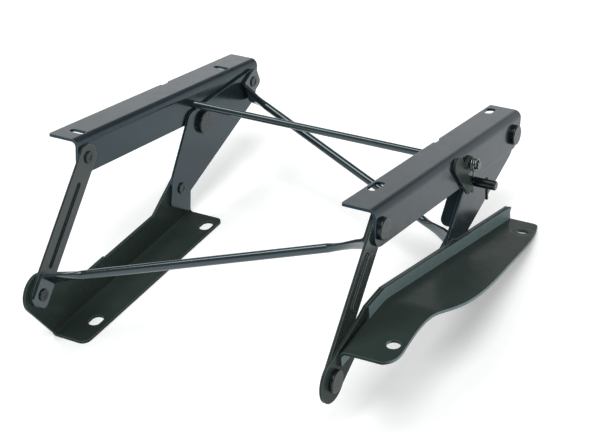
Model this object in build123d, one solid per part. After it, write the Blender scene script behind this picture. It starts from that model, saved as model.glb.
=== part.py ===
from build123d import *
import os
from math import asin, cos, hypot, radians, sin, tan

# Folding seat riser: pressed steel rails on a four-bar linkage over two floor brackets.
# X runs across the vehicle, Y to the rear, Z up. Pieces are drawn about the middle plane
# between the rails and saved about the middle of the whole part's base. Sizes are in
# millimetres and degrees.

# Sheet and general fits
sheet = 3.0
bend_inside = 5.0
side_gap = 0.4
pin_fit = 0.05
stud_fit = 0.3

# Seat rails
rail_pitch = 333.0
rail_rear_margin = 55.0
rail_flange = 36.5
rail_web = 39.4
rail_slope = 11.0
rail_front_y = -175.2
rail_front_z = 186.1
rail_front_corner = 15.0
rail_rear_corner = 18.0
flange_corner = 2.5
edge_notch_y = 208.0
edge_notch_length = 14.0
edge_notch_depth = 2.2

# Seat bolt slots in the rail flanges: across on the left rail, along on the right one
slot_pitch = 273.0
left_slot_length = 19.0
left_slot_width = 9.0
left_slot_y = 22.0
left_slot_inset = 20.5
right_front_slot_length = 26.0
right_rear_slot_length = 19.0
right_slot_width = 10.0
right_slot_y = 56.5
right_slot_inset = 7.5

# Pivots of the four-bar linkage
front_pivot_y = 13.0
front_pivot_drop = 21.0
rear_pivot_inset = 18.5
rear_pivot_drop = 22.0
front_foot_y = -269.8
front_foot_z = 60.9
rear_foot_y = -15.4
rear_foot_z = 44.0

# Rivets
shank_d = 8.0
head_d = 22.0
head_thick = 4.6
head_edge = 1.4
left_head_d = 16.0
left_head_thick = 3.0
peen_d = 13.0
peen_thick = 1.4
peen_dimple_d = 7.0
peen_dimple_depth = 0.6
open_pivot_play = 3.4

# Front links
link_width = 27.0
bead_width = 11.0
bead_height = 2.2
bead_wall = 2.2
bead_margin = 30.0
right_bead_start = 70.0

# Rear plates
plate_top_radius = 14.0
plate_heel_radius = 14.0
plate_heel_drop = 14.0
plate_heel_inset = 3.5
plate_nose_radius = 13.0
plate_nose_y = 209.0
plate_nose_drop = 38.0
plate_foot_radius = 17.0
plate_knee_y = 3.4
plate_knee_z = 12.3
plate_knee_radius = 18.0
plate_toe_drop = 32.0
plate_toe_rear = 10.0
plate_toe_front = 17.0
plate_toe_front_drop = 9.5
plate_toe_radius = 3.0
plate_toe_front_radius = 5.0
right_nose_radius = 12.0
right_foot_radius = 13.0
plate_lip = 12.0
plate_lip_length = 42.0
plate_lip_start = 12.0
plate_lip_corner = 8.0
plate_lip_bend = 2.5

# Cross rods
brace_d = 9.0
brace_flat = 25.0
brace_tab_end = 12.5
brace_tab_corner = 6.0
brace_reach = 16.5
brace_bend = 5.0
brace_flat_run = 8.0
brace_taper = 32.0
latch_rod_d = 8.0
latch_rod_y = 208.0
latch_rod_drop = 17.0
latch_rod_end = 13.0

# Latch studs and hooks
stud_d = 10.0
stud_y = 228.0
stud_drop = 43.0
stud_head_d = 27.0
stud_head_thick = 5.0
left_stud_out = 12.0
right_stud_out = 25.0
stud_chamfer = 1.0
cotter_d = 3.0
cotter_out = 14.5
cotter_drop = 13.0
cotter_top = 2.0
hook_thick = 3.0
hook_head_radius = 8.0
hook_gap = 0.5
hook_claw_slope = 34.0
hook_claw_root = 9.0
hook_tip_forward = 7.0
hook_tip_below = 8.2
hook_claw_radius = 3.2
hook_tip_radius = 1.5
hook_lobe_back = 14.0
hook_lobe_radius = 6.0
hook_bulge_out = 30.0
hook_bulge_up = 6.5
hook_bulge_radius = 9.0
hook_bridge_out = 16.0
hook_bridge_drop = 8.0
left_hook_tail = 12.0

# Hook return spring
spring_wire = 2.0
spring_turns = 2.5
spring_pitch = 2.25
spring_clear = 1.0
spring_leg = 16.0

# Left floor bracket
left_foot_width = 43.0
left_foot_narrowing = 4.0
left_foot_front = -257.0
left_foot_rear = 1.8
left_foot_front_corner = 9.0
left_foot_rear_corner = 7.0
left_web_height = 36.2
left_web_step = 2.0
left_web_step_y = -160.0
left_web_rise_y = -190.0
front_ear_radius = 21.0
rear_ear_radius = 19.0
rear_ear_toe = 33.0
foot_bend_inside = 3.0
foot_slot_width = 13.5
foot_slot_length = 18.5
left_hole_front_y = -219.7
left_hole_front_in = 25.5
left_hole_rear_y = -17.3
left_hole_rear_in = 32.5

# Right floor bracket
right_foot_slope = 15.48
right_crease_y = -170.0
right_foot_rear = 133.0
right_web_height = 12.5
right_web_rear_height = 14.5
right_front_y = -259.0
right_front_width = 53.0
right_waist_width = 51.0
right_belly_width = 67.5
right_belly_run = 65.0
right_rear_width = 36.5
right_hole_d = 13.5
right_hole_front_y = -230.1
right_hole_front_edge = 12.0
right_hole_rear_from_end = 34.0
right_hole_rear_in = 31.0
boss_radius = 13.0
boss_depth = 0.8
paddle_radius = 22.0
paddle_neck_y = -228.0
paddle_neck_drop = 28.0
paddle_neck_radius = 9.0
hidden_ear_radius = 16.0
upstand_front_y = -203.0
upstand_ear = 3.0
roll_radius = 9.0
roll_skirt = 8.0
crease_radius = 60.0

# Places that follow from the sizes
left_face = -rail_pitch / 2
right_face = rail_pitch / 2
bend_outside = bend_inside + sheet
shank_r = shank_d / 2
rail_length = left_slot_y + slot_pitch + rail_rear_margin
rear_pivot_y = rail_length - rear_pivot_inset
right_hole_front_in = right_front_width - right_hole_front_edge
link_gap = side_gap
left_link_x = left_face + link_gap
left_tab_x = left_link_x + sheet
right_link_x = right_face - sheet - link_gap - sheet
right_tab_x = right_link_x - sheet
right_rear_z = sheet / 2 * (1 + 1 / cos(radians(right_foot_slope)))
right_panel_z = right_rear_z + (right_foot_rear - right_crease_y) * tan(radians(right_foot_slope))
rear_end = rail_front_y + rail_length * cos(radians(rail_slope))
front_end = front_foot_y - max(front_ear_radius, paddle_radius)
base_middle = Pos((rail_flange - right_belly_width) / 2, -(rear_end + front_end) / 2, 0)


def to_floor(y, z):
    a = radians(rail_slope)
    return (rail_front_y + y * cos(a) + z * sin(a), rail_front_z - y * sin(a) + z * cos(a))


rail_place = Pos(0, rail_front_y, rail_front_z) * Rot(-rail_slope, 0, 0)
front_top = to_floor(front_pivot_y, -front_pivot_drop)
rear_top = to_floor(rear_pivot_y, -rear_pivot_drop)
front_foot = (front_foot_y, front_foot_z)
rear_foot = (rear_foot_y, rear_foot_z)
latch_axis = to_floor(latch_rod_y, -latch_rod_drop)
stud_axis = to_floor(stud_y, -stud_drop)


def slab(face, x0, thick):
    # A flat piece in the YZ plane, from x0 towards +X
    return extrude(Plane.YZ.offset(x0) * face, thick)


def rod_x(centre, radius, x0, x1):
    return Pos(x0, centre[0], centre[1]) * (Rot(0, 90, 0) * Cylinder(
        radius, x1 - x0, align=(Align.CENTER, Align.CENTER, Align.MIN)))


def round_hull(circles):
    # The outline stretched round a set of discs (y, z, radius)
    with BuildSketch() as s:
        with BuildLine():
            for y, z, r in circles:
                CenterArc((y, z), r, 0, 360)
        make_hull()
    return s.sketch


def disc(y, z, r):
    return Pos(y, z) * Circle(r)


def unit(a, b):
    length = hypot(b[0] - a[0], b[1] - a[1])
    return ((b[0] - a[0]) / length, (b[1] - a[1]) / length)


def along(a, b, s):
    u = unit(a, b)
    return (a[0] + u[0] * s, a[1] + u[1] * s)


def round_corners(face, picks):
    # Round the outline's corners nearest to each picked point
    for (y, z), radius in picks:
        corner = face.vertices().sort_by_distance((y, z, 0))[0]
        face = fillet(corner, radius)
    return face


def save(shape, name):
    shape = base_middle * shape
    shape.label = name
    export_step(shape, "parts/" + name + ".step")


def seat_rail(face_x, slots):
    # An L section with its flange towards -X, cut from the side and from above
    with BuildSketch(Plane.XZ) as section:
        with BuildLine():
            Polyline((0, -rail_web), (0, 0), (-rail_flange, 0), (-rail_flange, -sheet),
                     (-sheet, -sheet), (-sheet, -rail_web), close=True)
        make_face()
        outer = section.vertices().sort_by_distance((0, 0, 0))[0]
        fillet(outer, bend_outside)
        inner = section.vertices().sort_by_distance((-sheet, 0, -sheet))[0]
        fillet(inner, bend_inside)
    body = extrude(section.sketch, -rail_length)
    side = Polyline((0, 1), (rail_length, 1), (rail_length, -rail_web), (0, -rail_web), close=True)
    side = make_face(side.edges())
    side = round_corners(side, [((0, -rail_web), rail_front_corner),
                                ((rail_length, -rail_web), rail_rear_corner)])
    body = body & slab(side, -rail_flange - 1, rail_flange + 2)
    for y, z, r in ((front_pivot_y, -front_pivot_drop, shank_r),
                    (rear_pivot_y, -rear_pivot_drop, shank_r + open_pivot_play),
                    (latch_rod_y, -latch_rod_drop, latch_rod_d / 2 + pin_fit),
                    (stud_y, -stud_drop, stud_d / 2 + stud_fit)):
        body -= rod_x((y, z), r, -sheet - 1, 1)
    for y, inset, length, width, turn in slots:
        hole = extrude(SlotOverall(length, width), 2 * sheet, both=True)
        body -= Pos(-rail_flange + inset, y, 0) * Rot(0, 0, turn) * hole
    notch = Box(2 * edge_notch_depth, edge_notch_length, 2 * sheet)
    body -= Pos(-rail_flange, edge_notch_y, -sheet / 2) * notch
    tips = body.edges().filter_by(Axis.Z).filter_by(lambda e: e.center().X < -rail_flange + 0.1)
    tips = tips.filter_by(lambda e: e.center().Y < 0.1 or e.center().Y > rail_length - 0.1)
    body = fillet(tips, flange_corner)
    return rail_place * Pos(face_x, 0, 0) * body


def front_link(x0, outward, low_margin):
    # A flat strip with round ends and a pressed bead that stands out on the outboard side
    a, b = front_foot, front_top
    r = link_width / 2
    body = slab(round_hull([(a[0], a[1], r), (b[0], b[1], r)]), x0, sheet)
    run = hypot(b[0] - a[0], b[1] - a[1])
    p = along(a, b, low_margin)
    q = along(a, b, run - bead_margin)
    ridge = round_hull([(p[0], p[1], bead_width / 2), (q[0], q[1], bead_width / 2)])
    inner = bead_width / 2 - bead_wall
    groove = round_hull([(p[0], p[1], inner), (q[0], q[1], inner)])
    if outward > 0:
        body += slab(ridge, x0 + sheet - 0.5, bead_height + 0.5)
        body -= slab(groove, x0 - 1, bead_height + 1)
    else:
        body += slab(ridge, x0 - bead_height, bead_height + 0.5)
        body -= slab(groove, x0 + sheet - bead_height, bead_height + 1)
    body -= rod_x(a, shank_r + pin_fit, x0 - 5, x0 + sheet + 5)
    body -= rod_x(b, shank_r + pin_fit, x0 - 5, x0 + sheet + 5)
    return body


def plate_face(nose, nose_radius, foot_radius):
    # Wide at the rail, narrow at the floor pivot, with a square toe below it
    y, z = rear_foot
    heel = to_floor(rear_pivot_y - plate_heel_inset, -rear_pivot_drop - plate_heel_drop)
    upper = [(rear_top[0], rear_top[1], plate_top_radius),
             (heel[0], heel[1], plate_heel_radius),
             (nose[0], nose[1], nose_radius),
             (y, z, foot_radius)]
    toe = [(y - plate_toe_front, z - plate_toe_front_drop, plate_toe_front_radius),
           (y + plate_toe_rear, z - plate_toe_drop, plate_toe_radius),
           (y + plate_toe_rear + 1, z - plate_toe_drop / 2, plate_toe_radius)]
    if foot_radius == plate_foot_radius:
        knee = (y + plate_knee_y, z + plate_knee_z, plate_knee_radius)
        upper.append(knee)
        toe.append(knee)
    else:
        toe.append((y, z, foot_radius))
    return round_hull(upper) + round_hull(toe)


def rear_plate(x0, lip):
    # The right plate is narrower in front and has a stiffening lip bent inboard
    nose = to_floor(plate_nose_y, -plate_nose_drop)
    body = slab(plate_face(nose, plate_nose_radius, plate_foot_radius), x0, sheet)
    if lip:
        nose = stud_axis
        body = slab(plate_face(nose, right_nose_radius, right_foot_radius), x0, sheet)
        u = unit(nose, rear_foot)
        lean = asin((right_nose_radius - right_foot_radius)
                    / hypot(nose[0] - rear_foot[0], nose[1] - rear_foot[1]))
        front = (u[1] * cos(lean) - u[0] * sin(lean), -u[0] * cos(lean) - u[1] * sin(lean))
        down = (-front[1], front[0])
        if down[1] > 0:
            down = (front[1], -front[0])
        start = (nose[0] + front[0] * right_nose_radius + down[0] * plate_lip_start,
                 nose[1] + front[1] * right_nose_radius + down[1] * plate_lip_start)
        wall = Plane(origin=(x0 + sheet, start[0], start[1]), x_dir=(-1, 0, 0),
                     z_dir=(0, -front[0], -front[1]))
        rise = wall.to_local_coords(Vector(x0 + sheet, start[0] + down[0], start[1] + down[1])).Y
        face = Pos((plate_lip + sheet) / 2, rise * plate_lip_length / 2) * Rectangle(
            plate_lip + sheet, plate_lip_length)
        corner = face.vertices().sort_by_distance((plate_lip + sheet, rise * plate_lip_length, 0))[0]
        face = fillet(corner, plate_lip_corner)
        body += extrude(wall * face, sheet)
        r = plate_lip_bend
        block = Box(r, plate_lip_length, r, align=(Align.MIN, Align.CENTER, Align.MIN))
        block -= Pos(r, 0, r) * Rot(90, 0, 0) * Cylinder(r, plate_lip_length + 2)
        body -= wall * Pos(0, rise * plate_lip_length / 2, 0) * block
    body -= rod_x(rear_top, shank_r, x0 - 1, x0 + sheet + 1)
    body -= rod_x(rear_foot, shank_r + pin_fit, x0 - 1, x0 + sheet + 1)
    body -= rod_x(stud_axis, stud_d / 2, x0 - 1, x0 + sheet + 1)
    return body


def cross_brace(a, hole_a, b, hole_b):
    # A round rod from pivot a on the left to pivot b on the right, its ends pressed flat,
    # bent and made into eyes
    ax = left_tab_x + sheet / 2
    bx = right_tab_x + sheet / 2
    u = unit(a, b)
    span = hypot(b[0] - a[0], b[1] - a[1])
    width = bx - ax
    d = Vector(width, u[0] * (span - 2 * brace_reach), u[1] * (span - 2 * brace_reach)).normalized()
    cross = Vector(0, -u[1], u[0])
    body = None
    ends = []
    for p, px, s, hole in ((a, ax, 1, hole_a), (b, bx, -1, hole_b)):
        ud = Vector(0, s * u[0], s * u[1])
        plane = Plane(origin=(px, p[0], p[1]), x_dir=ud, z_dir=cross)
        corner = Vector(px, p[0], p[1]) + ud * brace_reach
        stop = corner + d * (s * brace_flat_run)
        c2 = plane.to_local_coords(corner)
        s2 = plane.to_local_coords(stop)
        with BuildSketch(plane) as strip:
            with BuildLine() as path:
                FilletPolyline((-brace_tab_end, 0), (c2.X, c2.Y), (s2.X, s2.Y), radius=brace_bend)
            trace(path.line, line_width=sheet)
        piece = extrude(strip.sketch, brace_flat / 2, both=True)
        tab_end = Vector(px, p[0], p[1]) - ud * brace_tab_end
        tips = piece.edges().filter_by(Axis.X).sort_by_distance(tab_end)
        piece = fillet(tips[:2], brace_tab_corner)
        piece -= rod_x(p, hole, px - sheet, px + sheet)
        flat = Plane(origin=stop, x_dir=cross, z_dir=d * s)
        far = Plane(origin=stop + d * (s * brace_taper), x_dir=cross, z_dir=d * s)
        piece += loft([flat * Rectangle(brace_flat, sheet), far * Circle(brace_d / 2)])
        ends.append(stop + d * (s * brace_taper))
        body = piece if body is None else body + piece
    run = ends[1] - ends[0]
    body += extrude(Plane(origin=ends[0], z_dir=d) * Circle(brace_d / 2), run.length)
    return body


def rivet(p, seat_x, layers, outward, flush=False):
    # Head against the outboard sheet, shank through the layers, peened end inboard
    end = seat_x - outward * layers
    size, thick = (head_d, head_thick) if outward > 0 else (left_head_d, left_head_thick)
    body = rod_x(p, shank_r, min(seat_x, end), max(seat_x, end))
    if not flush:
        head = rod_x(p, size / 2, min(seat_x, seat_x + outward * thick),
                     max(seat_x, seat_x + outward * thick))
        rim = head.edges().filter_by(GeomType.CIRCLE).sort_by(Axis.X)
        rim = rim[-1] if outward > 0 else rim[0]
        body += fillet(rim, head_edge)
    tip = end - outward * peen_thick
    peen = rod_x(p, peen_d / 2, min(end, tip), max(end, tip))
    rim = peen.edges().filter_by(GeomType.CIRCLE).sort_by(Axis.X)
    rim = rim[0] if outward > 0 else rim[-1]
    body += fillet(rim, peen_thick * 0.6)
    body -= rod_x(p, peen_dimple_d / 2, tip - peen_dimple_depth, tip + peen_dimple_depth)
    return body


def latch_stud(plate_x, inward, length_out):
    # Big disc head on the inboard face of the plate, shank outboard through the web notch
    inner = plate_x if inward < 0 else plate_x + sheet
    tip = inner - inward * (sheet + side_gap + sheet + length_out)
    shank = rod_x(stud_axis, stud_d / 2, min(inner, tip), max(inner, tip))
    rim = shank.edges().filter_by(GeomType.CIRCLE).sort_by(Axis.X)
    shank = chamfer(rim[-1] if inward < 0 else rim[0], stud_chamfer)
    head = rod_x(stud_axis, stud_head_d / 2, min(inner, inner + inward * stud_head_thick),
                 max(inner, inner + inward * stud_head_thick))
    rim = head.edges().filter_by(GeomType.CIRCLE).sort_by(Axis.X)
    head = fillet(rim[0] if inward < 0 else rim[-1], 1.2)
    return shank + head


def hook_face(tail):
    # The claw ends below the stud, just in front of its path. The right hook has a
    # broad arm that bulges forward, the left one stays under its flange and has a tail.
    ay, az = latch_rod_y, -latch_rod_drop
    slope = radians(hook_claw_slope)
    run = (cos(slope), -sin(slope))
    under = (-sin(slope), -cos(slope))

    def on_edge(s, r):
        gap = stud_d / 2 + hook_gap + r
        return (stud_y + under[0] * gap + run[0] * s, -stud_drop + under[1] * gap + run[1] * s, r)

    tip = (stud_y - hook_tip_forward, -stud_drop - hook_tip_below, hook_tip_radius)
    root = on_edge(-hook_claw_root, hook_claw_radius)
    lobe = on_edge(-hook_lobe_back, hook_lobe_radius)
    bulge = (ay - hook_bulge_out, az + hook_bulge_up, hook_bulge_radius)
    bridge = (ay - hook_bridge_out, az - hook_bridge_drop, hook_head_radius)
    hub = (ay, az, hook_head_radius)
    if tail:
        end = (lobe[0], lobe[1] - tail, hook_lobe_radius * 0.8)
        return round_hull([hub, lobe]) + round_hull([lobe, end]) + round_hull([root, tip])
    return round_hull([bulge, lobe]) + round_hull([hub, bridge]) + round_hull([root, tip])


def latch_hook(x0, tail):
    body = slab(hook_face(tail), x0, hook_thick)
    body -= rod_x((latch_rod_y, -latch_rod_drop), latch_rod_d / 2, x0 - 1, x0 + hook_thick + 1)
    return rail_place * body


def left_bracket():
    # Web with a round front ear and a tall rear ear, foot flange towards +X
    x = left_face
    with BuildSketch(Plane.XZ) as section:
        with BuildLine():
            Polyline((-sheet, 200), (0, 200), (0, sheet), (left_foot_width, sheet),
                     (left_foot_width, 0), (-sheet, 0), close=True)
        make_face()
        outer = section.vertices().sort_by_distance((-sheet, 0, 0))[0]
        fillet(outer, foot_bend_inside + sheet)
        inner = section.vertices().sort_by_distance((0, 0, sheet))[0]
        fillet(inner, foot_bend_inside)
    body = Pos(x, 0, 0) * extrude(section.sketch, -700, both=True)
    top = left_web_height
    fy, fz = front_foot
    ry, rz = rear_foot
    brow = top + left_web_step
    web = make_face(Polyline(
        (left_foot_front, -1), (left_foot_rear, -1), (left_foot_rear, top),
        (left_web_step_y + left_web_step, top), (left_web_step_y, brow), (left_web_rise_y, brow),
        (left_foot_front, brow), close=True).edges())
    web += round_hull([(fy, fz, front_ear_radius), (left_web_rise_y - 1, brow - 1, 1),
                       (left_foot_front + 2, 4, 2)])
    web += round_hull([(ry, rz, rear_ear_radius), (left_foot_rear - 1, 1, 1),
                       (ry - rear_ear_radius - rear_ear_toe, top - 1, 1)])
    body = body & slab(web, x - sheet - 1, left_foot_width + 3 * sheet)
    trim = make_face(Polyline(
        (x + left_foot_width - left_foot_narrowing, left_foot_front - 1),
        (x + left_foot_width + 1, left_foot_front - 1),
        (x + left_foot_width + 1, left_foot_rear + 1), (x + left_foot_width, left_foot_rear + 1),
        close=True).edges())
    body -= extrude(trim, 2 * sheet, both=True)
    reach = x + left_foot_width - left_foot_narrowing - 0.5
    tips = body.edges().filter_by(Axis.Z).filter_by(lambda e: e.center().X > reach)
    body = fillet(tips.sort_by(Axis.Y)[0], left_foot_front_corner)
    tips = body.edges().filter_by(Axis.Z).filter_by(lambda e: e.center().X > reach)
    body = fillet(tips.sort_by(Axis.Y)[-1], left_foot_rear_corner)
    for y, inset in ((left_hole_front_y, left_hole_front_in), (left_hole_rear_y, left_hole_rear_in)):
        body -= Pos(x + inset, y, 0) * Rot(0, 0, 90) * extrude(
            SlotOverall(foot_slot_length, foot_slot_width), 2 * sheet, both=True)
    body -= rod_x(front_foot, shank_r, x - sheet - 1, x + 1)
    body -= rod_x(rear_foot, shank_r, x - sheet - 1, x + 1)
    return body


def panel_z(y):
    # Height of the foot's upper face along its length
    if y <= right_crease_y:
        return right_panel_z
    return right_panel_z - (y - right_crease_y) * tan(radians(right_foot_slope))


def right_pivot_plate():
    # The upright sheet: front paddle, low web and the ear that hangs behind the foot
    fy, fz = front_foot
    ry, rz = rear_foot
    top = right_web_height
    neck = right_panel_z - paddle_neck_drop
    tail_y = right_foot_rear
    web = make_face(Polyline(
        (fy + 2, fz + paddle_radius - 0.5), (upstand_front_y - 10, right_panel_z + top * 0.7),
        (upstand_front_y, right_panel_z + top), (right_crease_y, right_panel_z + top),
        (tail_y, panel_z(tail_y) + right_web_rear_height), (tail_y, panel_z(tail_y) + sheet),
        (right_crease_y + 60, panel_z(right_crease_y + 60) - 3 * sheet), (right_crease_y, neck),
        (paddle_neck_y, neck), (fy + paddle_radius * 0.75, fz - paddle_radius * 0.66), close=True).edges())
    web += disc(fy, fz, paddle_radius)
    web = round_corners(web, [((paddle_neck_y, neck), paddle_neck_radius)])
    web += round_hull([(ry, rz, hidden_ear_radius), (ry - 14, panel_z(ry - 14) + 2, hidden_ear_radius * 0.6),
                       (ry + 14, panel_z(ry + 14) + 2, hidden_ear_radius * 0.6)])
    body = slab(web, right_face - sheet, sheet)
    body -= rod_x(front_foot, shank_r, right_face - sheet - 1, right_face + 1)
    body -= rod_x(rear_foot, shank_r, right_face - sheet - 1, right_face + 1)
    return body


def right_outer_edge():
    # The curved outer edge from the front corner round the belly to the rear corner
    x = right_face
    front = right_front_y
    crease = right_crease_y
    rear = right_foot_rear
    taper = right_belly_width - right_rear_width
    return [(x + right_front_width - 10, front + 1), (x + right_front_width - 1, front + 11),
            (x + right_front_width, front + 27), (x + right_waist_width, crease - 25),
            (x + right_waist_width + 2, crease - 6), (x + right_belly_width - 9.5, crease + 10),
            (x + right_belly_width - 3.5, crease + 30), (x + right_belly_width, crease + right_belly_run),
            (x + right_belly_width - 1.5, crease + right_belly_run + 37),
            (x + right_belly_width - taper / 3, rear - 121), (x + right_rear_width + 4.5, rear - 17),
            (x + right_rear_width, rear - 3)]


def roll_section(y, outer):
    # The foot's inner edge rolled down against the pivot plate, as cut across at y
    x = right_face
    z = right_panel_z
    foot_z = z - roll_radius - roll_skirt
    turn = outer * (1 - cos(radians(45)))
    inner = outer - sheet
    with BuildSketch(Plane.XZ.offset(-y)) as cut:
        with BuildLine():
            Line((x, foot_z), (x, z - outer))
            ThreePointArc((x, z - outer), (x + turn, z - turn), (x + outer, z))
            Line((x + outer, z), (x + outer, z - sheet))
            ThreePointArc((x + outer, z - sheet),
                          (x + outer - inner * cos(radians(45)), z - outer + inner * cos(radians(45))),
                          (x + sheet, z - outer))
            Line((x + sheet, z - outer), (x + sheet, foot_z))
            Line((x + sheet, foot_z), (x, foot_z))
        make_face()
    return cut.sketch


def right_foot():
    # Upstand along the pivot plate, level front panel, sloping rear panel
    x = right_face
    top = right_web_height
    edge = right_outer_edge()
    with BuildSketch(Plane.YZ) as profile:
        with BuildLine() as line:
            FilletPolyline((right_front_y - 30, right_panel_z - sheet / 2),
                           (right_crease_y, right_panel_z - sheet / 2),
                           (right_foot_rear + 30, panel_z(right_foot_rear + 30) - sheet / 2),
                           radius=crease_radius)
        trace(line.line, line_width=sheet)
    pan = extrude(Pos(x, 0, 0) * profile.sketch, right_belly_width + 2 * sheet)
    with BuildSketch(Plane.XY) as plan:
        with BuildLine():
            Polyline((x + sheet, upstand_front_y), (x + roll_radius, right_front_y), edge[0])
            Spline(edge)
            Polyline(edge[-1], (x + right_rear_width - 4.5, right_foot_rear), (x, right_foot_rear),
                     (x, upstand_front_y), (x + sheet, upstand_front_y))
        make_face()
    pan = pan & extrude(plan.sketch, 200, both=True)
    rim_y = upstand_front_y
    rear_z = panel_z(right_foot_rear)
    upstand = make_face(Polyline(
        (rim_y, right_panel_z + top), (right_crease_y, right_panel_z + top),
        (right_foot_rear + upstand_ear, rear_z + right_web_rear_height - upstand_ear / 2),
        (right_foot_rear + upstand_ear, rear_z + right_web_rear_height - upstand_ear),
        (right_foot_rear, rear_z + right_web_rear_height - 2 * upstand_ear),
        (right_foot_rear, rear_z - sheet),
        (right_crease_y, right_panel_z - sheet), (rim_y, right_panel_z - sheet), close=True).edges())
    body = pan + slab(upstand, x, sheet)
    body += loft([roll_section(upstand_front_y, sheet + 0.1), roll_section(right_front_y, roll_radius)])
    rear_y = right_foot_rear - right_hole_rear_from_end
    spots = ((right_hole_front_y, right_hole_front_in, 0.0), (rear_y, right_hole_rear_in, right_foot_slope))
    for y, inset, lean in spots:
        place = Pos(x + inset, y, panel_z(y)) * Rot(-lean, 0, 0)
        body -= place * Cylinder(right_hole_d / 2, 6 * sheet)
    body -= Pos(x + right_hole_rear_in, rear_y, panel_z(rear_y)) * Rot(-right_foot_slope, 0, 0) * Cylinder(
        boss_radius, boss_depth, align=(Align.CENTER, Align.CENTER, Align.MAX))
    return body


def spring():
    # A torsion spring round the right end of the latch rod, with its two legs
    coil_r = latch_rod_d / 2 + spring_clear + spring_wire / 2
    x0 = right_face + side_gap + hook_thick + side_gap + spring_wire / 2
    path = Helix(pitch=spring_pitch, height=spring_pitch * spring_turns, radius=coil_r)
    start = path @ 0
    tangent = path % 0
    coil = sweep(Plane(origin=start, z_dir=tangent) * Circle(spring_wire / 2), path, is_frenet=True)
    a = path @ 0
    b = path @ 1
    out_a = path % 0
    out_b = path % 1
    leg_a = extrude(Plane(origin=a, z_dir=(-out_a.X, -out_a.Y, 0)) * Circle(spring_wire / 2), spring_leg)
    leg_b = extrude(Plane(origin=b, z_dir=(out_b.X, out_b.Y, 0)) * Circle(spring_wire / 2), spring_leg)
    body = coil + leg_a + leg_b
    body = Rot(90, 0, 0) * Rot(0, 90, 0) * body
    return rail_place * Pos(x0, latch_rod_y, -latch_rod_drop) * body


os.makedirs("parts", exist_ok=True)

left_slots = [(left_slot_y, left_slot_inset, left_slot_length, left_slot_width, 0),
              (left_slot_y + slot_pitch, left_slot_inset, left_slot_length, left_slot_width, 0)]
right_slots = [(right_slot_y, right_slot_inset, right_front_slot_length, right_slot_width, 90),
               (right_slot_y + slot_pitch, right_slot_inset, right_rear_slot_length, right_slot_width, 90)]
save(seat_rail(left_face, left_slots), "left_seat_rail")
save(seat_rail(right_face, right_slots), "right_seat_rail")
save(front_link(left_link_x, -1, bead_margin), "left_front_link")
save(front_link(right_link_x, 1, right_bead_start), "right_front_link")
save(rear_plate(left_link_x, False), "left_rear_plate")
save(rear_plate(right_link_x, True), "right_rear_plate")
save(left_bracket(), "left_floor_bracket")
save(right_pivot_plate(), "right_pivot_plate")
save(right_foot(), "right_floor_foot")

run_hole = shank_r + pin_fit
save(cross_brace(front_foot, run_hole, front_top, run_hole), "front_brace_rod")
save(cross_brace(rear_top, shank_r, rear_foot, run_hole), "rear_brace_rod")

rod = rod_x((latch_rod_y, -latch_rod_drop), latch_rod_d / 2,
            left_face - sheet - side_gap - hook_thick - 1.5, right_face + latch_rod_end)
save(rail_place * rod, "latch_cross_rod")
save(latch_hook(left_face - sheet - side_gap - hook_thick, left_hook_tail), "left_latch_hook")
save(latch_hook(right_face + side_gap, 0), "right_latch_hook")
save(spring(), "latch_spring")
save(latch_stud(left_link_x, 1, left_stud_out), "left_latch_stud")
right_stud = latch_stud(right_link_x, -1, right_stud_out)
pin_x = right_face + cotter_out
right_stud -= Pos(pin_x, stud_axis[0], stud_axis[1]) * Cylinder(cotter_d / 2, 3 * stud_d)
save(right_stud, "right_latch_stud")
cotter = Pos(pin_x, stud_axis[0], stud_axis[1] + stud_d / 2 + cotter_top) * Cylinder(
    cotter_d / 2, stud_d + cotter_top + cotter_drop, align=(Align.CENTER, Align.CENTER, Align.MAX))
save(cotter, "stud_cotter_pin")

one = sheet + link_gap + sheet
two = one + sheet
save(rivet(front_foot, left_face - sheet, two + side_gap, -1), "left_front_foot_rivet")
save(rivet(front_top, left_face - sheet, one + side_gap, -1), "left_front_top_rivet")
save(rivet(rear_top, left_face - sheet - side_gap, two + side_gap, -1), "left_rear_top_rivet")
save(rivet(rear_foot, left_face - sheet, one + side_gap, -1), "left_rear_foot_rivet")
save(rivet(front_foot, right_face, one + side_gap, 1), "right_front_foot_rivet")
save(rivet(front_top, right_face, two + side_gap, 1), "right_front_top_rivet")
save(rivet(rear_top, right_face + side_gap, one + side_gap, 1), "right_rear_top_rivet")
save(rivet(rear_foot, right_face, two + side_gap, 1, flush=True), "right_rear_foot_rivet")
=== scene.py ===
from math import radians

import bpy
from bpy.props import FloatProperty, FloatVectorProperty, PointerProperty
from mathutils import Matrix, Vector

bl_info = {
    "name": "Seat riser looks",
    "version": (1, 0, 0),
    "blender": (4, 5, 0),
    "location": "3D View > Sidebar > Seat riser",
    "description": "Paints the packed seat riser and stands it on a studio floor",
    "category": "Object",
}

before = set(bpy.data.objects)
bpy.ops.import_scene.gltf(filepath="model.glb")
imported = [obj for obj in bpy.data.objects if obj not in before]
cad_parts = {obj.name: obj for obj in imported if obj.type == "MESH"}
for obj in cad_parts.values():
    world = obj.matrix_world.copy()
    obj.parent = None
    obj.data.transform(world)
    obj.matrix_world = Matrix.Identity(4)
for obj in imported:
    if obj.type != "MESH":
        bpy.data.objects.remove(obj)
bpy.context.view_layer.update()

MM = 0.001

# Detail and roughness of each noise pattern
CLOUD_NOISE = {"Detail": 3.0, "Roughness": 0.55}
SCUFF_NOISE = {"Detail": 2.0, "Roughness": 0.5}
PEEL_NOISE = {"Detail": 1.0, "Roughness": 0.4}
STREAK_NOISE = {"Detail": 4.0, "Roughness": 0.6}

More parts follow.
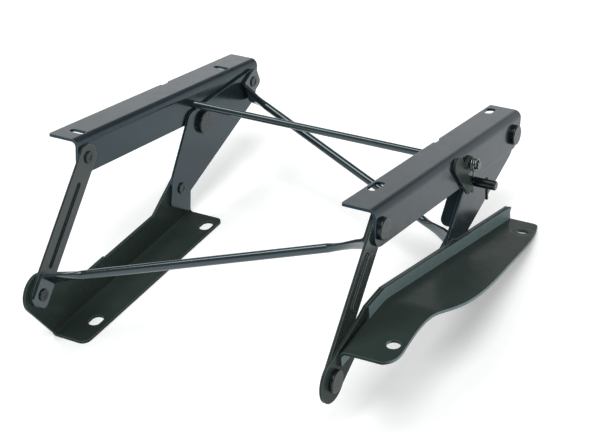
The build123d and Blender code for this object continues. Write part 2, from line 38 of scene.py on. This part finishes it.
# Values of a pattern, or cosines of an angle, between which its effect grows
CLOUD_RANGE = {"From Min": 0.35, "From Max": 0.65}
SCUFF_RANGE = {"From Min": 0.40, "From Max": 0.72}
STREAK_TONE_RANGE = {"From Min": 0.35, "From Max": 0.70}
STREAK_GLOSS_RANGE = {"From Min": 0.30, "From Max": 0.70}
EDGE_RANGE = {"From Min": 0.995, "From Max": 0.80}
UPRIGHT_RANGE = {"From Min": 0.60, "From Max": 0.98}

ENAMEL_IOR = 1.52
EDGE_SAMPLES = 12
PEEL_DEPTH = 0.05 * MM
STREAK_DEPTH = 0.03 * MM
STREAK_STRENGTH = 0.15
STREAK_DULLING = 0.15

# Sockets of a colour mix, whose names repeat
SHARE, FIRST, SECOND, MIXED = 0, 6, 7, 2

# Lamp places over the floor, in metres. A sun lamp takes only its direction from them
KEY_LAMP_PLACE = (0.25, -0.62, 1.80)
SIDE_LAMP_PLACE = (-1.00, 0.0, 1.73)

# Sines of the heights where the pale walls end, 13 degrees, and the ceiling starts, 22 degrees
WALL_TOP = 0.22
CEILING_FOOT = 0.38

# The photograph's viewpoint, fitted to the pivots, rail edges and slots
CAMERA_PLACE = (0.70654, -1.16281, 0.91956)
CAMERA_RIGHT = (0.87034811, 0.48873827, -0.0602417)
CAMERA_UP = (-0.2150693, 0.48731469, 0.84632712)
CAMERA_AHEAD = (-0.44298912, 0.72364307, -0.52924602)
SENSOR_WIDTH = 36
CLIP_START = 0.05
CLIP_END = 50


# Colours and shader nodes

def hex_colour(text):
    # An sRGB hex value as the linear colour that shaders take
    def linear(byte):
        v = byte / 255
        return v / 12.92 if v <= 0.04045 else ((v + 0.055) / 1.055) ** 2.4
    return tuple(linear(int(text[i:i + 2], 16)) for i in (1, 3, 5))


def per_metre(size_mm):
    # Pattern scale for a feature of a real size in millimetres
    return 1 / (size_mm * MM)


def add_node(tree, kind, settings=None, values=None, links=None):
    # One shader node with its settings, its socket values and what feeds its sockets
    made = tree.nodes.new(kind)
    for name, value in (settings or {}).items():
        setattr(made, name, value)
    for name, value in (values or {}).items():
        made.inputs[name].default_value = value
    for name, source in (links or {}).items():
        tree.links.new(source, made.inputs[name])
    return made


def new_material(name, colour):
    material = bpy.data.materials.new(name)
    material.use_nodes = True
    material.diffuse_color = (*colour, 1)
    tree = material.node_tree
    tree.nodes.clear()
    return material, tree


def enamel(name, look, sheen, upstand_reflection_colour=None):
    # Black baking enamel sprayed on cold rolled steel. It levels to a faint orange peel, pulls
    # thin over cut edges, and takes soft handling marks that dull the gloss. The pale colour
    # given to cut edges is partly that thin coat and partly a painted highlight.
    material, tree = new_material(name, look.colour)
    coords = add_node(tree, "ShaderNodeTexCoord").outputs
    clouds, scuffs, peel = (
        add_node(tree, "ShaderNodeTexNoise", None, {"Scale": per_metre(size_mm), **grain},
                 {"Vector": coords["Object"]}).outputs["Fac"]
        for size_mm, grain in ((look.cloud_mm, CLOUD_NOISE), (look.scuff_mm, SCUFF_NOISE),
                               (look.peel_mm, PEEL_NOISE)))
    cloudy = add_node(tree, "ShaderNodeMapRange", None, CLOUD_RANGE,
                      {"Value": clouds}).outputs["Result"]
    tone = add_node(tree, "ShaderNodeMix", {"data_type": "RGBA"},
                    {FIRST: (*look.colour, 1), SECOND: (*look.second_colour, 1)},
                    {SHARE: cloudy}).outputs[MIXED]
    if upstand_reflection_colour is not None:
        # Painted reflection: faces turned towards +X, such as the upstand, are mixed to a paler
        # colour, as if lit
        aside = add_node(tree, "ShaderNodeSeparateXYZ", None, None,
                         {"Vector": coords["Normal"]}).outputs["X"]
        upright = add_node(tree, "ShaderNodeMapRange", None, UPRIGHT_RANGE,
                           {"Value": aside}).outputs["Result"]
        tone = add_node(tree, "ShaderNodeMix", {"data_type": "RGBA"},
                        {SECOND: (*upstand_reflection_colour, 1)},
                        {SHARE: upright, FIRST: tone}).outputs[MIXED]
    # The rounded and the sharp normal part only at an edge
    rounded = add_node(tree, "ShaderNodeBevel", {"samples": EDGE_SAMPLES},
                       {"Radius": look.edge_mm * MM}).outputs["Normal"]
    sharp = add_node(tree, "ShaderNodeNewGeometry").outputs["Normal"]
    turn = add_node(tree, "ShaderNodeVectorMath", {"operation": "DOT_PRODUCT"}, None,
                    {0: rounded, 1: sharp}).outputs["Value"]
    # Painted highlight: cut edges are mixed towards a pale edge colour, partly thin coat, partly
    # light on the edge painted in
    thin = add_node(tree, "ShaderNodeMapRange", None, {**EDGE_RANGE, "To Max": look.thin_coat_and_highlight_share},
                    {"Value": turn}).outputs["Result"]
    thin_coat_and_highlight_tone = add_node(tree, "ShaderNodeMix", {"data_type": "RGBA"},
                    {SECOND: (*look.thin_coat_and_highlight_colour, 1)}, {SHARE: thin, FIRST: tone}).outputs[MIXED]
    gloss = {"To Min": look.roughness, "To Max": look.roughness + look.dulling}
    rough = add_node(tree, "ShaderNodeMapRange", None, {**SCUFF_RANGE, **gloss},
                     {"Value": scuffs}).outputs["Result"]
    bump = add_node(tree, "ShaderNodeBump", None,
                    {"Strength": look.peel_strength, "Distance": PEEL_DEPTH},
                    {"Height": peel, "Normal": rounded}).outputs["Normal"]
    shader = add_node(tree, "ShaderNodeBsdfPrincipled", None,
                      {"IOR": ENAMEL_IOR, "Specular IOR Level": sheen,
                       "Specular Tint": (*look.sheen_colour, 1)},
                      {"Base Color": thin_coat_and_highlight_tone, "Roughness": rough, "Normal": bump})
    add_node(tree, "ShaderNodeOutputMaterial", None, None, {"Surface": shader.outputs["BSDF"]})
    return material


def spring_wire(name, look):
    # Hard drawn carbon steel wire, bright zinc plated: a true metal with fine drawing marks.
    # Real marks are far under 0.1 mm, so they are drawn coarser to show at all.
    material, tree = new_material(name, look.colour)
    place = add_node(tree, "ShaderNodeTexCoord").outputs["Object"]
    streaks = add_node(tree, "ShaderNodeTexNoise", None,
                       {"Scale": per_metre(look.streak_mm), **STREAK_NOISE},
                       {"Vector": place}).outputs["Fac"]
    marked = add_node(tree, "ShaderNodeMapRange", None, STREAK_TONE_RANGE,
                      {"Value": streaks}).outputs["Result"]
    tone = add_node(tree, "ShaderNodeMix", {"data_type": "RGBA"},
                    {FIRST: (*look.colour, 1), SECOND: (*look.second_colour, 1)},
                    {SHARE: marked}).outputs[MIXED]
    gloss = {"To Min": look.roughness, "To Max": look.roughness + STREAK_DULLING}
    rough = add_node(tree, "ShaderNodeMapRange", None, {**STREAK_GLOSS_RANGE, **gloss},
                     {"Value": streaks}).outputs["Result"]
    bump = add_node(tree, "ShaderNodeBump", None,
                    {"Strength": STREAK_STRENGTH, "Distance": STREAK_DEPTH},
                    {"Height": streaks}).outputs["Normal"]
    shader = add_node(tree, "ShaderNodeBsdfPrincipled", None, {"Metallic": 1.0},
                      {"Base Color": tone, "Roughness": rough, "Normal": bump})
    add_node(tree, "ShaderNodeOutputMaterial", None, None, {"Surface": shader.outputs["BSDF"]})
    return material


def paint_nodes(names, material):
    # Gives every slot of these CAD pieces one material
    for name in names:
        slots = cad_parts[name].material_slots
        if not slots:
            raise RuntimeError("no material slot on " + name)
        for slot in slots:
            slot.material = material


# Settings that a user would change

def colour_property(name, description, text):
    return FloatVectorProperty(name=name, description=description, subtype="COLOR",
                               min=0, max=1, default=hex_colour(text))


def number_property(name, description, default, **more):
    return FloatProperty(name=name, description=description, default=default, **more)


class RailEnamel(bpy.types.PropertyGroup):
    """Semi-gloss enamel of the rails and rear plates"""
    colour: colour_property("Colour", "Enamel colour", "#20292d")
    second_colour: colour_property("Second colour", "Where the coat lies thicker", "#1b2326")
    # Pale edge colour, with its share below: partly thin coat, partly a painted highlight on cut
    # edges
    thin_coat_and_highlight_colour: colour_property("Edge colour", "Where the coat pulls thin on edges", "#9fb9c6")
    roughness: number_property("Roughness", "Gloss of clean enamel", 0.17)
    dulling: number_property("Dulling", "Added where handled", 0.06)
    sheen: number_property("Sheen", "Strength of the reflections", 0.50)
    # Painted shade: weaker reflections on the right rail and plate, so that side reads darker
    shaded_side_sheen: number_property("Handled sheen", "Sheen on the side that hands dull", 0.34)
    sheen_colour: colour_property("Sheen colour", "Tint of the reflections", "#b4e0f8")
    peel_mm: number_property("Orange peel", "Spacing of the peel, in millimetres", 1.6)
    peel_strength: number_property("Peel strength", "Depth of the peel", 0.01)
    cloud_mm: number_property("Clouds", "Size of the tone patches, in millimetres", 45)
    scuff_mm: number_property("Scuffs", "Size of the dull patches, in millimetres", 14)
    edge_mm: number_property("Edge", "Rounding of cut edges, in millimetres", 0.7)
    thin_coat_and_highlight_share: number_property("Edge wear", "Share of the edge colour", 0.45)


class LinkEnamel(bpy.types.PropertyGroup):
    """Semi-gloss enamel of the front links, thinner than on the rails"""
    colour: colour_property("Colour", "Enamel colour", "#363b38")
    second_colour: colour_property("Second colour", "Where the coat lies thicker", "#2e3331")
    # Pale edge colour, with its share below: partly thin coat, partly a painted highlight on cut
    # edges
    thin_coat_and_highlight_colour: colour_property("Edge colour", "Where the coat pulls thin on edges", "#9fb9c6")
    roughness: number_property("Roughness", "Gloss of clean enamel", 0.17)
    dulling: number_property("Dulling", "Added where handled", 0.06)
    sheen: number_property("Sheen", "Strength of the reflections", 0.50)
    sheen_colour: colour_property("Sheen colour", "Tint of the reflections", "#d8ecf6")
    peel_mm: number_property("Orange peel", "Spacing of the peel, in millimetres", 1.6)
    peel_strength: number_property("Peel strength", "Depth of the peel", 0.01)
    cloud_mm: number_property("Clouds", "Size of the tone patches, in millimetres", 35)
    scuff_mm: number_property("Scuffs", "Size of the dull patches, in millimetres", 12)
    edge_mm: number_property("Edge", "Rounding of cut edges, in millimetres", 0.7)
    thin_coat_and_highlight_share: number_property("Edge wear", "Share of the edge colour", 0.45)


class BracketEnamel(bpy.types.PropertyGroup):
    """Deeper black enamel of the floor brackets and the latch hooks"""
    colour: colour_property("Colour", "Enamel colour", "#343e3b")
    second_colour: colour_property("Second colour", "Where the coat lies thicker", "#2e3835")
    # Painted reflection: a paler colour on the +X faces of the foot's upstand
    upstand_reflection_colour: colour_property("Upright colour", "Where it lies thin on the upstand",
                                    "#768889")
    # Pale edge colour, with its share below: partly thin coat, partly a painted highlight on cut
    # edges
    thin_coat_and_highlight_colour: colour_property("Edge colour", "Where the coat pulls thin on edges", "#9ab0ba")
    roughness: number_property("Roughness", "Gloss of clean enamel", 0.22)
    dulling: number_property("Dulling", "Added where handled", 0.10)
    sheen: number_property("Sheen", "Strength of the reflections", 0.05)
    foot_sheen: number_property("Foot sheen", "Strength on the right foot", 0.015)
    sheen_colour: colour_property("Sheen colour", "Tint of the reflections", "#d0f4f0")
    peel_mm: number_property("Orange peel", "Spacing of the peel, in millimetres", 1.6)
    peel_strength: number_property("Peel strength", "Depth of the peel", 0.02)
    cloud_mm: number_property("Clouds", "Size of the tone patches, in millimetres", 60)
    scuff_mm: number_property("Scuffs", "Size of the dull patches, in millimetres", 18)
    edge_mm: number_property("Edge", "Rounding of cut edges, in millimetres", 0.7)
    thin_coat_and_highlight_share: number_property("Edge wear", "Share of the edge colour", 0.5)


class RodEnamel(bpy.types.PropertyGroup):
    """Gloss enamel of the drawn cross rods"""
    colour: colour_property("Colour", "Enamel colour", "#222c2d")
    second_colour: colour_property("Second colour", "Where the coat lies thicker", "#1d2526")
    # Pale edge colour, with its share below: partly thin coat, partly a painted highlight on cut
    # edges
    thin_coat_and_highlight_colour: colour_property("Edge colour", "Where the coat pulls thin on edges", "#6a7d84")
    roughness: number_property("Roughness", "Gloss of clean enamel", 0.09)
    dulling: number_property("Dulling", "Added where handled", 0.03)
    sheen: number_property("Sheen", "Strength of the reflections", 1.0)
    sheen_colour: colour_property("Sheen colour", "Tint of the reflections", "#d6eef8")
    peel_mm: number_property("Orange peel", "Spacing of the peel, in millimetres", 1.2)
    peel_strength: number_property("Peel strength", "Depth of the peel", 0.02)
    cloud_mm: number_property("Clouds", "Size of the tone patches, in millimetres", 40)
    scuff_mm: number_property("Scuffs", "Size of the dull patches, in millimetres", 12)
    edge_mm: number_property("Edge", "Rounding of cut edges, in millimetres", 0.3)
    thin_coat_and_highlight_share: number_property("Edge wear", "Share of the edge colour", 0.3)


class HardwareEnamel(bpy.types.PropertyGroup):
    """Enamel over the rivets, studs and cotter pin"""
    colour: colour_property("Colour", "Enamel colour", "#15191a")
    second_colour: colour_property("Second colour", "Where the coat lies thicker", "#101415")
    # Pale edge colour, with its share below: partly thin coat, partly a painted highlight on cut
    # edges
    thin_coat_and_highlight_colour: colour_property("Edge colour", "Where the coat pulls thin on edges", "#71848b")
    roughness: number_property("Roughness", "Gloss of clean enamel", 0.22)
    dulling: number_property("Dulling", "Added where handled", 0.10)
    sheen: number_property("Sheen", "Strength of the reflections", 0.45)
    sheen_colour: colour_property("Sheen colour", "Tint of the reflections", "#e0f4f6")
    peel_mm: number_property("Orange peel", "Spacing of the peel, in millimetres", 1.2)
    peel_strength: number_property("Peel strength", "Depth of the peel", 0.02)
    cloud_mm: number_property("Clouds", "Size of the tone patches, in millimetres", 12)
    scuff_mm: number_property("Scuffs", "Size of the dull patches, in millimetres", 5)
    edge_mm: number_property("Edge", "Rounding of cut edges, in millimetres", 0.5)
    thin_coat_and_highlight_share: number_property("Edge wear", "Share of the edge colour", 0.6)


class SpringWire(bpy.types.PropertyGroup):
    """Bright plated wire of the spring"""
    colour: colour_property("Colour", "Plating colour", "#8d9290")
    second_colour: colour_property("Second colour", "Drawing marks", "#4d5251")
    roughness: number_property("Roughness", "Gloss of the plating", 0.28)
    streak_mm: number_property("Streaks", "Spacing of the marks, in millimetres", 0.8)


class StudioStage(bpy.types.PropertyGroup):
    """Floor, lamps, walls and camera"""
    floor_colour: colour_property("Floor", "Floor colour", "#f4f5f5")
    floor_size: number_property("Floor size", "Side of the floor", 14, unit="LENGTH")
    lamp_strength: number_property("Lamp strength", "Strength of the main light", 1.65)
    lamp_spread: number_property("Lamp spread", "Angle that the main light fills, as a soft box",
                                 radians(34), subtype="ANGLE")
    side_strength: number_property("Side strength", "Strength of the light from the left", 0.75)
    side_spread: number_property("Side spread", "Angle that the light from the left fills",
                                 radians(26), subtype="ANGLE")
    high_strength: number_property("Ceiling", "Strength of the light from above", 0.20)
    low_strength: number_property("Walls", "Strength of the light from the pale walls", 1.15)
    floor_lift: number_property("Floor lift", "Light added to the floor for the camera", 0.32)
    camera_lens: number_property("Lens", "Focal length in millimetres on a 36 mm sensor", 94.5)


# Pieces

class SEATRISER_OT_paint_rails(bpy.types.Operator):
    """Paint the seat rails and rear plates"""
    bl_idname = "seatriser.paint_rails"
    bl_label = "Paint rails and plates"

    def execute(self, context):
        look = context.scene.rail_enamel
        # Semi-gloss enamel on pressed sheet: flat faces mirror the pale walls softly, and the
        # bends draw a dark line
        paint_nodes(["left_seat_rail", "left_rear_plate"],
                    enamel("semi_gloss_black_enamel_on_pressed_steel", look, look.sheen))
        # The same enamel on the latch side with weaker reflections: a shaded copy, painted shade
        # that makes the right side darker
        paint_nodes(["right_seat_rail", "right_rear_plate"],
                    enamel("shaded_copy_of_black_enamel_on_pressed_steel", look, look.shaded_side_sheen))
        return {"FINISHED"}


class SEATRISER_OT_paint_links(bpy.types.Operator):
    """Paint the front links"""
    bl_idname = "seatriser.paint_links"
    bl_label = "Paint front links"

    def execute(self, context):
        look = context.scene.link_enamel
        # A thinner coat on pressed strip: as glossy as the rails, but a warmer black
        paint_nodes(["left_front_link", "right_front_link"],
                    enamel("thin_black_enamel_on_pressed_steel", look, look.sheen))
        return {"FINISHED"}


class SEATRISER_OT_paint_brackets(bpy.types.Operator):
    """Paint the floor brackets and the latch hooks"""
    bl_idname = "seatriser.paint_brackets"
    bl_label = "Paint brackets and hooks"

    def execute(self, context):
        look = context.scene.bracket_enamel
        # A deep coat with hardly any mirror: an even green black
        paint_nodes(["left_floor_bracket", "right_pivot_plate", "left_latch_hook",
                     "right_latch_hook"],
                    enamel("deep_black_enamel_on_pressed_steel", look, look.sheen))
        # The same coat on the flanged foot, flatter still, with a painted reflection that makes
        # its upstand paler
        paint_nodes(["right_floor_foot"],
                    enamel("deep_black_enamel_with_painted_upstand_reflection", look, look.foot_sheen,
                           look.upstand_reflection_colour))
        return {"FINISHED"}


class SEATRISER_OT_paint_rods(bpy.types.Operator):
    """Paint the cross rods"""
    bl_idname = "seatriser.paint_rods"
    bl_label = "Paint cross rods"

    def execute(self, context):
        look = context.scene.rod_enamel
        # Gloss enamel on drawn rod, smooth enough to carry a thin bright streak along it
        finish = enamel("gloss_black_enamel_on_drawn_rod", look, look.sheen)
        paint_nodes(["front_brace_rod", "rear_brace_rod", "latch_cross_rod"], finish)
        return {"FINISHED"}


class SEATRISER_OT_paint_hardware(bpy.types.Operator):
    """Paint the rivets, latch studs and cotter pin"""
    bl_idname = "seatriser.paint_hardware"
    bl_label = "Paint rivets, studs and pin"

    def execute(self, context):
        look = context.scene.hardware_enamel
        # Enamel over turned heads and pins: dark faces inside a rim painted pale, partly thin
        # coat and partly a painted highlight
        finish = enamel("black_enamel_on_turned_steel", look, look.sheen)
        names = [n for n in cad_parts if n.endswith(("_rivet", "_stud", "_pin"))]
        paint_nodes(names, finish)
        return {"FINISHED"}


class SEATRISER_OT_finish_spring(bpy.types.Operator):
    """Give the return spring its plated wire"""
    bl_idname = "seatriser.finish_spring"
    bl_label = "Finish spring"

    def execute(self, context):
        # Bare plated wire, the one bright piece
        paint_nodes(["latch_spring"],
                    spring_wire("zinc_plated_drawn_wire", context.scene.spring_wire))
        return {"FINISHED"}


class SEATRISER_OT_build_stage(bpy.types.Operator):
    """Make the floor, the lamps, the walls' light and the camera"""
    bl_idname = "seatriser.build_stage"
    bl_label = "Build the stage"

    def execute(self, context):
        look = context.scene.studio_stage
        self.make_floor(context, look)
        self.make_lamps(context, look)
        self.make_world(context, look)
        self.make_camera(context, look)
        context.scene.view_settings.view_transform = "Standard"
        return {"FINISHED"}

    def make_floor(self, context, look):
        # White painted studio floor, lifted to white for the camera where nothing shades it
        half = look.floor_size / 2
        mesh = bpy.data.meshes.new("studio_floor")
        mesh.from_pydata([(-half, -half, 0), (half, -half, 0), (half, half, 0), (-half, half, 0)],
                         [], [(0, 1, 2, 3)])
        floor = bpy.data.objects.new("studio_floor", mesh)
        context.collection.objects.link(floor)
        material, tree = new_material("matt_white_floor_paint", look.floor_colour)
        matt = add_node(tree, "ShaderNodeBsdfDiffuse", None,
                        {"Color": (*look.floor_colour, 1)}).outputs["BSDF"]
        lift = add_node(tree, "ShaderNodeEmission", None,
                        {"Strength": look.floor_lift}).outputs["Emission"]
        rays = add_node(tree, "ShaderNodeLightPath")
        seen = rays.outputs["Is Camera Ray"]
        for other in ("Is Glossy Ray", "Is Transmission Ray"):
            seen = add_node(tree, "ShaderNodeMath", {"operation": "MAXIMUM"}, None,
                            {0: seen, 1: rays.outputs[other]}).outputs["Value"]
        lit = add_node(tree, "ShaderNodeAddShader", None, None,
                       {0: matt, 1: lift}).outputs["Shader"]
        both = add_node(tree, "ShaderNodeMixShader", None, None,
                        {0: seen, 1: matt, 2: lit}).outputs["Shader"]
        add_node(tree, "ShaderNodeOutputMaterial", None, None, {"Surface": both})
        mesh.materials.append(material)

    def make_lamps(self, context, look):
        # A wide soft light high in front keeps shadows close under the frame, and a weaker one
        # high on the left draws the long streaks on the cross rods
        for name, place, strength, spread in (
                ("key_lamp", KEY_LAMP_PLACE, look.lamp_strength, look.lamp_spread),
                ("side_lamp", SIDE_LAMP_PLACE, look.side_strength, look.side_spread)):
            lamp = bpy.data.lights.new(name, "SUN")
            lamp.energy = strength
            lamp.angle = spread
            stand = bpy.data.objects.new(name, lamp)
            stand.location = place
            stand.rotation_euler = (-stand.location).to_track_quat("-Z", "Y").to_euler()
            context.collection.objects.link(stand)

    def make_world(self, context, look):
        world = bpy.data.worlds.new("even_studio_light")
        world.use_nodes = True
        tree = world.node_tree
        tree.nodes.clear()
        # Pale walls all round under a darker ceiling, for the dark line along the bends
        place = add_node(tree, "ShaderNodeTexCoord").outputs["Generated"]
        height = add_node(tree, "ShaderNodeSeparateXYZ", None, None,
                          {"Vector": place}).outputs["Z"]
        level = add_node(tree, "ShaderNodeMapRange", {"interpolation_type": "SMOOTHSTEP"},
                         {"From Min": WALL_TOP, "From Max": CEILING_FOOT,
                          "To Min": look.low_strength, "To Max": look.high_strength},
                         {"Value": height}).outputs["Result"]
        light = add_node(tree, "ShaderNodeBackground", None, {"Color": (1, 1, 1, 1)},
                         {"Strength": level}).outputs["Background"]
        add_node(tree, "ShaderNodeOutputWorld", None, None, {"Surface": light})
        context.scene.world = world

    def make_camera(self, context, look):
        lens = bpy.data.cameras.new("photo_camera")
        lens.sensor_width = SENSOR_WIDTH
        lens.lens = look.camera_lens
        lens.clip_start = CLIP_START
        lens.clip_end = CLIP_END
        camera = bpy.data.objects.new("photo_camera", lens)
        turn = Matrix((CAMERA_RIGHT, CAMERA_UP, -Vector(CAMERA_AHEAD))).transposed()
        camera.matrix_world = Matrix.Translation(CAMERA_PLACE) @ turn.to_4x4()
        context.collection.objects.link(camera)
        context.scene.camera = camera


class SEATRISER_PT_panel(bpy.types.Panel):
    """Buttons that paint the riser and set its stage"""
    bl_label = "Seat riser"
    bl_space_type = "VIEW_3D"
    bl_region_type = "UI"
    bl_category = "Seat riser"

    def draw(self, context):
        for operator in OPERATORS:
            self.layout.operator(operator.bl_idname)


GROUPS = {
    "rail_enamel": RailEnamel,
    "link_enamel": LinkEnamel,
    "bracket_enamel": BracketEnamel,
    "rod_enamel": RodEnamel,
    "hardware_enamel": HardwareEnamel,
    "spring_wire": SpringWire,
    "studio_stage": StudioStage,
}
OPERATORS = (
    SEATRISER_OT_paint_rails,
    SEATRISER_OT_paint_links,
    SEATRISER_OT_paint_brackets,
    SEATRISER_OT_paint_rods,
    SEATRISER_OT_paint_hardware,
    SEATRISER_OT_finish_spring,
    SEATRISER_OT_build_stage,
)


def register():
    for name, group in GROUPS.items():
        bpy.utils.register_class(group)
        setattr(bpy.types.Scene, name, PointerProperty(type=group))
    for operator in OPERATORS:
        bpy.utils.register_class(operator)
    bpy.utils.register_class(SEATRISER_PT_panel)


def unregister():
    bpy.utils.unregister_class(SEATRISER_PT_panel)
    for operator in reversed(OPERATORS):
        bpy.utils.unregister_class(operator)
    for name, group in reversed(list(GROUPS.items())):
        delattr(bpy.types.Scene, name)
        bpy.utils.unregister_class(group)


def main():
    register()
    bpy.ops.seatriser.paint_rails()
    bpy.ops.seatriser.paint_links()
    bpy.ops.seatriser.paint_brackets()
    bpy.ops.seatriser.paint_rods()
    bpy.ops.seatriser.paint_hardware()
    bpy.ops.seatriser.finish_spring()
    bpy.ops.seatriser.build_stage()


if __name__ == "__main__":
    main()
